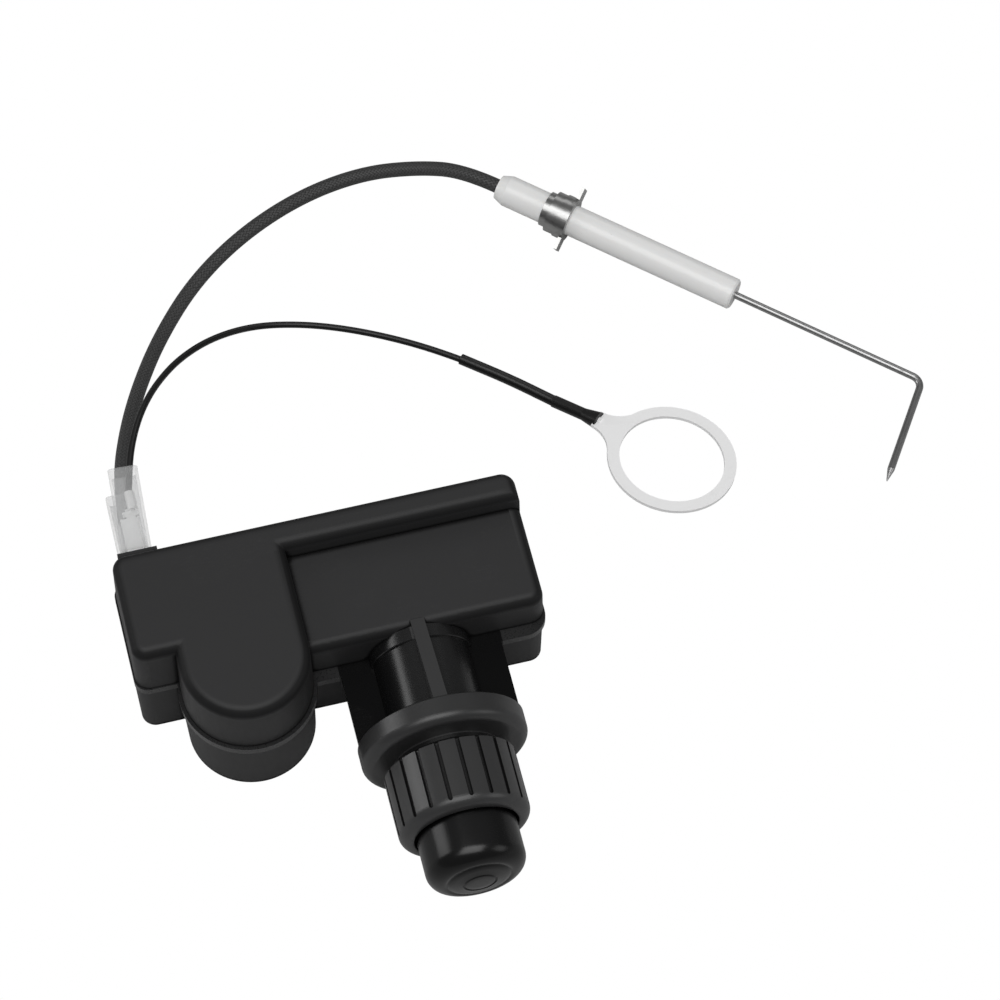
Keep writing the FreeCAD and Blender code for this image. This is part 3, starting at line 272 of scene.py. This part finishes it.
def plated_metal(name, colour, roughness, brush_scale, brush_depth, speck=0.5, metallic=1.0):
    """Plated or drawn metal with fine lines and a few dull spots."""
    material, tree, shader = new_material(name)
    place = add(tree, "ShaderNodeTexCoord")
    stretched = add(tree, "ShaderNodeMapping", in_Scale=brush_scale)
    tree.links.new(place.outputs["Object"], stretched.inputs["Vector"])
    lines = add(tree, "ShaderNodeTexNoise", in_Scale=1.0, in_Detail=4.0, in_Roughness=0.7)
    tree.links.new(stretched.outputs["Vector"], lines.inputs["Vector"])
    spots = add(tree, "ShaderNodeTexNoise", in_Scale=420.0, in_Detail=4.0)
    tree.links.new(place.outputs["Object"], spots.inputs["Vector"])
    dull = maths(tree, "MULTIPLY", maths(tree, "GREATER_THAN", spots.outputs["Fac"], 0.62), speck, clamp=True)
    darker = tuple(c * 0.72 for c in colour)
    tree.links.new(mixed(tree, dull, colour, darker), shader.inputs["Base Color"])
    rough = maths(tree, "ADD", maths(tree, "MULTIPLY", lines.outputs["Fac"], 0.14), roughness - 0.07)
    tree.links.new(maths(tree, "ADD", rough, maths(tree, "MULTIPLY", dull, 0.12)), shader.inputs["Roughness"])
    bump = add(tree, "ShaderNodeBump", in_Strength=brush_depth, in_Distance=0.00005)
    tree.links.new(lines.outputs["Fac"], bump.inputs["Height"])
    tree.links.new(bump.outputs["Normal"], shader.inputs["Normal"])
    shader.inputs["Metallic"].default_value = metallic
    return material


CASE = black_moulding("case_black", (0.0270, 0.0270, 0.0277), 0.50, 0.35, 0.10, 0.5, 0.28)
COLLAR = black_moulding("collar_black", (0.0360, 0.0360, 0.0365), 0.32, 0.25, 0.08, 0.5, 0.45, 0.0)
BUTTON = black_moulding("button_black", (0.0075, 0.0075, 0.0077), 0.24, 0.10, 0.06, 0.6, 0.40, 0.5)
GLOSS = chassis_moulding()
TAB = plated_metal("tab_metal", (0.76, 0.70, 0.56), 0.3, (900, 120, 900), 0.2)
PALE_TAB = plated_metal("receptacle_metal", (0.93, 0.93, 0.93), 0.45, (900, 120, 900), 0.2, 0.2, 0.3)
CONTACT = plated_metal("contact_metal", (0.72, 0.58, 0.30), 0.3, (900, 120, 900), 0.2)
SPRING = plated_metal("spring_steel", (0.60, 0.60, 0.59), 0.28, (700, 700, 700), 0.15)
RING_PLATE = plated_metal("tinned_plate", (0.97, 0.97, 0.972), 0.42, (380, 380, 380), 0.06, 0.06, 0.05)
RETAINER = plated_metal("retainer_zinc", (0.38, 0.38, 0.375), 0.30, (500, 500, 1200), 0.35)
ROD = plated_metal("rod_steel", (0.36, 0.36, 0.36), 0.34, (300, 300, 2600), 0.4)


def plain_part(name, colour, roughness, wave=0.05):
    """A sealed inner piece's moulding."""
    material, tree, shader = new_material(name)
    grain = use_group(tree, GRAIN, Grain_depth=0.3, Wave_depth=wave)
    tree.links.new(mixed(tree, grain.outputs["Mask"], colour, tuple(c * 0.8 for c in colour)),
                   shader.inputs["Base Color"])
    tree.links.new(grain.outputs["Normal"], shader.inputs["Normal"])
    shader.inputs["Roughness"].default_value = roughness
    return material


BOARD = plain_part("board", (0.05, 0.16, 0.07), 0.4)
CAPACITOR = plain_part("capacitor_sleeve", (0.05, 0.07, 0.16), 0.35)
TRANSISTOR = plain_part("transistor_case", (0.02, 0.02, 0.02), 0.5)
FERRITE = plain_part("ferrite", (0.06, 0.06, 0.06), 0.6)
BOBBIN = plain_part("bobbin", (0.5, 0.44, 0.3), 0.5)
WINDING = plain_part("winding", (0.35, 0.12, 0.05), 0.35)
CELL_CAN = plain_part("cell_can", (0.3, 0.3, 0.32), 0.3)
LEAD = black_moulding("lead_black", (0.014, 0.014, 0.014), 0.38, 0.25, 0.05, 0.2)
SHRINK = black_moulding("shrink_black", (0.013, 0.013, 0.013), 0.36, 0.4, 0.5, 0.2)


def ceramic_material():
    material, tree, shader = new_material("white_ceramic")
    place = add(tree, "ShaderNodeTexCoord")
    specks = add(tree, "ShaderNodeTexNoise", in_Scale=900.0, in_Detail=2.0)
    cloud = add(tree, "ShaderNodeTexNoise", in_Scale=110.0, in_Detail=3.0)
    tree.links.new(place.outputs["Object"], specks.inputs["Vector"])
    tree.links.new(place.outputs["Object"], cloud.inputs["Vector"])
    speck = maths(tree, "MULTIPLY", maths(tree, "GREATER_THAN", specks.outputs["Fac"], 0.77), 0.2)
    body = mixed(tree, cloud.outputs["Fac"], (0.90, 0.90, 0.895), (0.87, 0.87, 0.86))
    tree.links.new(mixed(tree, speck, body, (0.45, 0.42, 0.38)), shader.inputs["Base Color"])
    bump = add(tree, "ShaderNodeBump", in_Strength=0.15, in_Distance=0.0001)
    tree.links.new(cloud.outputs["Fac"], bump.inputs["Height"])
    tree.links.new(bump.outputs["Normal"], shader.inputs["Normal"])
    shader.inputs["Roughness"].default_value = 0.28
    shader.inputs["Subsurface Weight"].default_value = 0.15
    shader.inputs["Subsurface Radius"].default_value = (0.0012, 0.0011, 0.001)
    return material


def sleeve_material():
    """Milky clear vinyl: part of the light goes straight through each wall, the rest is scattered."""
    material, tree, shader = new_material("clear_sleeve")
    grain = use_group(tree, GRAIN, Grain_scale=1400.0, Grain_depth=0.4, Wave_scale=160.0, Wave_depth=0.5)
    shader.inputs["Base Color"].default_value = (0.95, 0.96, 0.96, 1)
    shader.inputs["IOR"].default_value = 1.4
    tree.links.new(maths(tree, "ADD", maths(tree, "MULTIPLY", grain.outputs["Mask"], 0.12), 0.24),
                   shader.inputs["Roughness"])
    tree.links.new(grain.outputs["Normal"], shader.inputs["Normal"])
    through = add(tree, "ShaderNodeBsdfTranslucent", in_Color=(0.96, 0.96, 0.96, 1))
    clear = add(tree, "ShaderNodeBsdfTransparent", in_Color=(0.97, 0.97, 0.97, 1))
    body = add(tree, "ShaderNodeMixShader", in_0=0.4)
    tree.links.new(shader.outputs["BSDF"], body.inputs[1])
    tree.links.new(through.outputs["BSDF"], body.inputs[2])
    wall = add(tree, "ShaderNodeMixShader", in_0=0.76)
    tree.links.new(body.outputs["Shader"], wall.inputs[1])
    tree.links.new(clear.outputs["BSDF"], wall.inputs[2])
    tree.links.new(wall.outputs["Shader"], tree.nodes["Material Output"].inputs["Surface"])
    return material


def braid_material():
    """A sleeve braided of fine glass-fibre yarns, varnished black."""
    material, tree, shader = new_material("braid_black")
    place = add(tree, "ShaderNodeTexCoord")
    split = add(tree, "ShaderNodeSeparateXYZ")
    tree.links.new(place.outputs["UV"], split.inputs[0])
    along = maths(tree, "MULTIPLY", split.outputs[0], 150.0)
    around = maths(tree, "MULTIPLY", split.outputs[1], 12.0)
    right = maths(tree, "FRACT", maths(tree, "ADD", along, around))
    left = maths(tree, "FRACT", maths(tree, "SUBTRACT", along, around))
    heights = []
    for side in (right, left):
        centred = maths(tree, "SUBTRACT", side, 0.5)
        heights.append(maths(tree, "SUBTRACT", 1.0, maths(tree, "POWER", maths(tree, "MULTIPLY", maths(
            tree, "ABSOLUTE", centred), 2.0), 2.5)))
    cell = maths(tree, "ADD", maths(tree, "FLOOR", maths(tree, "ADD", along, around)),
                 maths(tree, "FLOOR", maths(tree, "SUBTRACT", along, around)))
    over = maths(tree, "PINGPONG", cell, 1.0)
    chosen = add(tree, "ShaderNodeMix")
    tree.links.new(over, chosen.inputs[0])
    tree.links.new(heights[0], chosen.inputs[2])
    tree.links.new(heights[1], chosen.inputs[3])
    fuzz = add(tree, "ShaderNodeTexNoise", in_Scale=5200.0, in_Detail=3.0)
    tree.links.new(place.outputs["Object"], fuzz.inputs["Vector"])
    height = maths(tree, "ADD", chosen.outputs[0], maths(tree, "MULTIPLY", fuzz.outputs["Fac"], 0.35))
    bump = add(tree, "ShaderNodeBump", in_Strength=0.55, in_Distance=0.00018)
    tree.links.new(height, bump.inputs["Height"])
    tree.links.new(bump.outputs["Normal"], shader.inputs["Normal"])
    # The colour follows the yarn height: the dips between the yarns are darker, which is painted shade; the crowns keep
    # the braid's black.
    tree.links.new(mixed(tree, chosen.outputs[0], (0.005, 0.005, 0.005), (0.050, 0.050, 0.050)),
                   shader.inputs["Base Color"])
    shader.inputs["Roughness"].default_value = 0.5
    return material


CERAMIC = ceramic_material()
SLEEVE = sleeve_material()
BRAID = braid_material()

FINISH = {
    "upper_cover": CASE, "lower_cover": CASE, "barrel_chassis": GLOSS, "retaining_collar": COLLAR,
    "push_button": BUTTON, "button_contact": CONTACT, "return_spring": SPRING, "battery_cell": CELL_CAN,
    "rear_spring": SPRING, "contact_strip": CONTACT, "terminal_block": CASE, "upper_tab": TAB, "lower_tab": TAB,
    "circuit_board": BOARD, "storage_capacitor": CAPACITOR, "switching_transistor": TRANSISTOR,
    "coil_core": FERRITE, "coil_bobbin": BOBBIN, "coil_winding": WINDING, "ground_sleeve": SLEEVE,
    "ground_receptacle": PALE_TAB, "ground_lead": LEAD, "heat_shrink": SHRINK, "ring_terminal": RING_PLATE,
    "spark_sleeve": SLEEVE, "spark_receptacle": PALE_TAB, "spark_lead": BRAID, "ceramic_insulator": CERAMIC,
    "electrode_retainer": RETAINER, "electrode_rod": ROD}
for name, material in FINISH.items():
    node[name].data.materials.clear()
    node[name].data.materials.append(material)
print("materials:", len(set(FINISH.values())))

# %% [markdown]
# ## The two leads
# A lead follows the same points as the frame's plain tube, as a smooth curve with a round section.
# %% The two leads
def axis_of(*numbers):
    return Vector(numbers).normalized()


AXIS = axis_of(0.7568, -0.6523, -0.0425)
RING = Vector((64.46, 62.36, -14.17))
RING_UP = axis_of(0.155, 0.127, 0.98)
RING_OUT = axis_of(0.7114, -0.7024, -0.0215)
RING_OUT = (RING_OUT - RING_UP * RING_OUT.dot(RING_UP)).normalized()
CRIMP = Vector((43.94, 83.06, -16.0))
NECK = (RING - RING_OUT * 17.6 - CRIMP).normalized()
CERAMIC_END = Vector((44.57, 136.0, -11.45))
SPARK_POINTS = [
    (-52.3, 71.5, -6.45), (-51.6, 81.5, -6.7), (-48.0, 93.5, -8.5), (-42.9, 105.5, -11.4), (-35.8, 118.2, -14.3),
    (-25.5, 130.9, -15.66), (-12.5, 140.4, -15.74), (2.2, 146.8, -15.7), (16.5, 149.2, -15.6), (28.5, 146.9, -14.2),
    tuple(CERAMIC_END - AXIS * 8.8), tuple(CERAMIC_END)]
GROUND_POINTS = [
    (-50.8, 71.5, 6.45), (-49.4, 78.0, 6.4), (-46.9, 85.5, 5.2), (-43.7, 92.6, 2.8), (-39.4, 100.1, -1.6),
    (-33.2, 107.6, -6.4), (-25.0, 113.5, -11.0), (-15.4, 116.6, -15.0), (-5.0, 115.4, -16.55), (5.2, 111.6, -16.65),
    (16.5, 105.6, -16.6), (26.7, 98.3, -16.15), (35.8, 90.75, -16.1), tuple(CRIMP - NECK * 0.05)]


def lead_curve(name, points, radius, material):
    """A curve of order 3 through its ends, with a round section."""
    data = bpy.data.curves.new(name, "CURVE")
    data.dimensions = "3D"
    spline = data.splines.new("NURBS")
    spline.points.add(len(points) - 1)
    for place, point in zip(spline.points, points):
        place.co = (point[0] * MM, point[1] * MM, point[2] * MM, 1)
    spline.order_u = 3
    spline.use_endpoint_u = True
    spline.resolution_u = 14
    data.bevel_depth = radius * MM
    data.bevel_resolution = 7
    data.use_fill_caps = True
    data.materials.append(material)
    made = bpy.data.objects.new(name, data)
    bpy.context.scene.collection.objects.link(made)
    return made


spark_curve = lead_curve("spark_lead_braid", SPARK_POINTS, 1.62, BRAID)
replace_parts(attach(spark_curve, "housing"), "spark_lead")
ground_curve = lead_curve("ground_lead_wire", GROUND_POINTS, 0.71, LEAD)
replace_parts(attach(ground_curve, "housing"), "ground_lead")
print("leads: spark 145.5 mm, ground 134.6 mm")

# %% [markdown]
# ## Turned pieces on the barrel's axis
# A profile of (radius, y) points is spun about the Y axis. The button gets its two face rings,
# and the barrel gets the step at its root.
# %% Turned pieces on the barrel's axis
def finish_mesh(name, build, material, body, smooth=40.0):
    """Makes an object of a bmesh, rides it on a body and shades it smooth below an angle."""
    data = bpy.data.meshes.new(name)
    bmesh.ops.recalc_face_normals(build, faces=build.faces)
    for face in build.faces:
        face.smooth = True
    for edge in build.edges:
        if len(edge.link_faces) == 2 and edge.calc_face_angle(0) > math.radians(smooth):
            edge.smooth = False
    build.to_mesh(data)
    build.free()
    data.materials.append(material)
    made = bpy.data.objects.new(name, data)
    bpy.context.scene.collection.objects.link(made)
    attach(made, body)
    return made


def spin_profile(points, steps=128, arc=math.tau, start=0.0):
    """A bmesh of a profile of (radius, y) in millimetres, turned about the Y axis."""
    build = bmesh.new()
    verts = [build.verts.new((r * MM, y * MM, 0)) for r, y in points]
    edges = [build.edges.new((a, b)) for a, b in zip(verts, verts[1:])]
    full = abs(arc - math.tau) < 1e-6
    bmesh.ops.spin(build, geom=verts + edges, cent=(0, 0, 0), axis=(0, 1, 0), dvec=(0, 0, 0), angle=arc,
                   steps=steps, use_merge=full, use_normal_flip=False, use_duplicate=False)
    bmesh.ops.remove_doubles(build, verts=build.verts, dist=1e-6)
    return build


def arc_points(centre, radius, first, last, count):
    """Points of a circular arc in a profile, its angles in degrees."""
    return [(centre[0] + radius * math.cos(math.radians(first + (last - first) * i / count)),
             centre[1] + radius * math.sin(math.radians(first + (last - first) * i / count))) for i in range(count + 1)]


def ring_groove(radius, y, width, depth):
    """A shallow groove in a face that looks along -Y, as profile points from the outside in."""
    return [(radius + width / 2, y), (radius + width / 4, y + depth * 0.8), (radius, y + depth),
            (radius - width / 4, y + depth * 0.8), (radius - width / 2, y)]


button_profile = [(0.01, -28.80), (1.6, -28.78), (2.9, -28.72)]
button_profile += ring_groove(3.35, -28.66, 0.5, 0.22)[::-1]
button_profile += [(3.9, -28.58), (5.2, -28.38)]
button_profile += [(6.2, -28.16), (6.45, -27.98), (6.6, -27.86), (6.75, -27.84), (6.95, -27.92)]
button_profile += arc_points((6.75, -24.35), 3.65, -80, 0, 12)
button_profile += [(10.4, -22.0), (10.4, -19.0), (10.4, -15.95), (11.0, -15.9), (11.0, -14.4), (8.7, -14.4), (8.7, -22.8),
                   (6.5, -24.9), (0.01, -25.6)]
button_piece = finish_mesh("button_cap", spin_profile(button_profile), BUTTON, "button", 50)
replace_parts(button_piece, "push_button")
root_profile = [(10.05, 22.35), (10.45, 22.35), (10.62, 22.5), (10.62, 25.2), (10.05, 25.2), (10.05, 22.35)]
root_step = finish_mesh("barrel_root_step", spin_profile(root_profile), GLOSS, "housing")
print("button cap:", len(button_piece.data.polygons), "faces")

# %% [markdown]
# ## The step's rounding
# A cutter with a hollow lower face rounds the long upper edge of the step behind the right panel.
# Its lower face is the higher of two quarter circles, so it mitres into the rounding on the left.
# %% The step's rounding
def step_cutter():
    """A bar over the step's edge, with a grid for its lower face."""
    radius, crown, count = 2.4, 15.5, 10
    turns = [math.pi / 2 * i / count for i in range(count + 1)]
    columns = [(-25.07 + radius * math.sin(a), crown - radius + radius * math.cos(a)) for a in turns]
    columns = [(-25.3, crown + 0.02)] + columns + [(x, 0.0) for x in (-15.0, 0.0, 15.0, 23.0, 28.0)]
    rows = [(49.067 - radius * math.sin(a), crown - radius + radius * math.cos(a)) for a in turns]
    rows = [(49.3, crown + 0.02)] + rows + [(46.3, crown - radius)]
    build = bmesh.new()
    under = [[build.verts.new((x * MM, y * MM, max(zx, zy) * MM)) for x, zx in columns] for y, zy in rows]
    over = [[build.verts.new((x * MM, y * MM, (crown + 1.2) * MM)) for x, zx in columns] for y, zy in rows]
    last_row, last_column = len(rows) - 1, len(columns) - 1
    for j in range(last_row):
        for i in range(last_column):
            build.faces.new((under[j][i], under[j + 1][i], under[j + 1][i + 1], under[j][i + 1]))
            build.faces.new((over[j][i], over[j][i + 1], over[j + 1][i + 1], over[j + 1][i]))
    for j in range(last_row):
        build.faces.new((under[j][0], over[j][0], over[j + 1][0], under[j + 1][0]))
        build.faces.new((under[j][last_column], under[j + 1][last_column], over[j + 1][last_column], over[j][last_column]))
    for i in range(last_column):
        build.faces.new((under[0][i], under[0][i + 1], over[0][i + 1], over[0][i]))
        build.faces.new((under[last_row][i], over[last_row][i], over[last_row][i + 1], under[last_row][i + 1]))
    bmesh.ops.recalc_face_normals(build, faces=build.faces)
    for face in build.faces:
        face.smooth = True
    data = bpy.data.meshes.new("step_cutter")
    build.to_mesh(data)
    build.free()
    made = bpy.data.objects.new("step_cutter", data)
    bpy.context.scene.collection.objects.link(made)
    made.hide_render = True
    made.hide_viewport = True
    return made


cutter = step_cutter()
rounding = node["upper_cover"].modifiers.new("step_rounding", "BOOLEAN")
rounding.operation = "DIFFERENCE"
rounding.solver = "EXACT"
rounding.object = cutter
print("step rounding: radius 2.4 mm")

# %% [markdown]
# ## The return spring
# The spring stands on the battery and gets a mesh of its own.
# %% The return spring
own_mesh(node["return_spring"])

# %% [markdown]
# ## Softened edges
# A moulding has no perfectly sharp edge, and two mouldings that meet show a fine groove.
# %% Softened edges
for name, width, angle in (("upper_cover", 0.22, 35), ("lower_cover", 0.22, 35), ("barrel_chassis", 0.18, 35),
                           ("retaining_collar", 0.08, 35), ("terminal_block", 0.55, 35), ("ring_terminal", 0.12, 50),
                           ("electrode_retainer", 0.12, 35), ("ceramic_insulator", 0.25, 25)):
    soft = node[name].modifiers.new("softened", "BEVEL")
    soft.width = width * MM
    soft.segments = 2
    soft.limit_method = "ANGLE"
    soft.angle_limit = math.radians(angle)
    soft.use_clamp_overlap = True
    soft.harden_normals = False
print("softened: 8 nodes")

# %% [markdown]
# ## The camera, the light and the backdrop
# The camera looks down at 62 degrees from the left of the button with a long lens.
# A pale floor and a bright room give the black mouldings soft reflections.
# %% The camera, the light and the backdrop
azimuth, elevation = math.radians(13.894), math.radians(62.395)
right_axis = Vector((math.cos(azimuth), -math.sin(azimuth), 0))
forward = Vector((math.sin(azimuth), math.cos(azimuth), 0))
up_axis = forward * math.sin(elevation) + Vector((0, 0, math.cos(elevation)))
back_axis = right_axis.cross(up_axis)
lens = bpy.data.cameras.new("camera")
lens.lens = 162
lens.sensor_width = 36
lens.clip_end = 20
camera = bpy.data.objects.new("camera", lens)
bpy.context.scene.collection.objects.link(camera)
turn = Matrix((right_axis, up_axis, back_axis)).transposed().to_4x4()
eye = right_axis * 10.803 * MM + up_axis * 52.144 * MM + back_axis * 915.8 * MM
camera.matrix_world = Matrix.Translation(eye) @ turn
bpy.context.scene.camera = camera


def lamp(name, place, aim, size, power, shape="RECTANGLE"):
    """An area lamp at a place, in metres, aimed at a point."""
    data = bpy.data.lights.new(name, "AREA")
    data.shape = shape
    data.size, data.size_y = size
    data.energy = power
    made = bpy.data.objects.new(name, data)
    bpy.context.scene.collection.objects.link(made)
    place, aim = Vector(place), Vector(aim)
    made.matrix_world = Matrix.Translation(place) @ (aim - place).to_track_quat("-Z", "Y").to_matrix().to_4x4()
    return made


def aimed_lamp(name, direction, distance, size, radiance):
    """A soft box in a direction from the object, sized in metres, by its brightness."""
    way = Vector(direction).normalized()
    return lamp(name, way * distance, (0.02, 0.05, 0), size, radiance * size[0] * size[1] * math.pi)


aimed_lamp("top_box", (-0.08, -0.22, 0.97), 1.4, (1.3, 1.0), 3.25)
aimed_lamp("left_box", (-0.85, 0.42, 0.33), 1.0, (0.30, 0.5), 3.4)
aimed_lamp("right_box", (0.80, -0.38, 0.42), 1.3, (0.6, 0.6), 1.6)
aimed_lamp("back_box", (0.45, 0.72, 0.52), 1.3, (0.6, 0.4), 1.2)

world = bpy.data.worlds.new("room")
world.use_nodes = True
bpy.context.scene.world = world
tree = world.node_tree
background = tree.nodes["Background"]
path = add(tree, "ShaderNodeLightPath")
room_colour = mixed(tree, path.outputs["Is Camera Ray"], (0.16, 0.16, 0.16), (1.0, 1.0, 1.0))
tree.links.new(room_colour, background.inputs["Color"])
background.inputs["Strength"].default_value = 1.0

floor_mesh = bpy.data.meshes.new("floor")
build = bmesh.new()
bmesh.ops.create_grid(build, x_segments=1, y_segments=1, size=3.0)
bmesh.ops.translate(build, vec=(0, 0, -0.01745), verts=build.verts)
build.to_mesh(floor_mesh)
build.free()
floor = bpy.data.objects.new("floor", floor_mesh)
bpy.context.scene.collection.objects.link(floor)
floor_paint, tree, shader = new_material("floor_paint")
shader.inputs["Base Color"].default_value = (0.5, 0.5, 0.5, 1)
shader.inputs["Roughness"].default_value = 0.8
path = add(tree, "ShaderNodeLightPath")
glow = add(tree, "ShaderNodeEmission", in_Color=(1, 1, 1, 1), in_Strength=1.0)
seen = maths(tree, "MULTIPLY", path.outputs["Is Camera Ray"], 1.0)
switch = add(tree, "ShaderNodeMixShader")
tree.links.new(seen, switch.inputs[0])
tree.links.new(shader.outputs["BSDF"], switch.inputs[1])
tree.links.new(glow.outputs["Emission"], switch.inputs[2])
tree.links.new(switch.outputs["Shader"], tree.nodes["Material Output"].inputs["Surface"])
floor_mesh.materials.append(floor_paint)
bpy.context.scene.view_settings.view_transform = "Standard"
print("camera at", [round(v, 3) for v in camera.location])
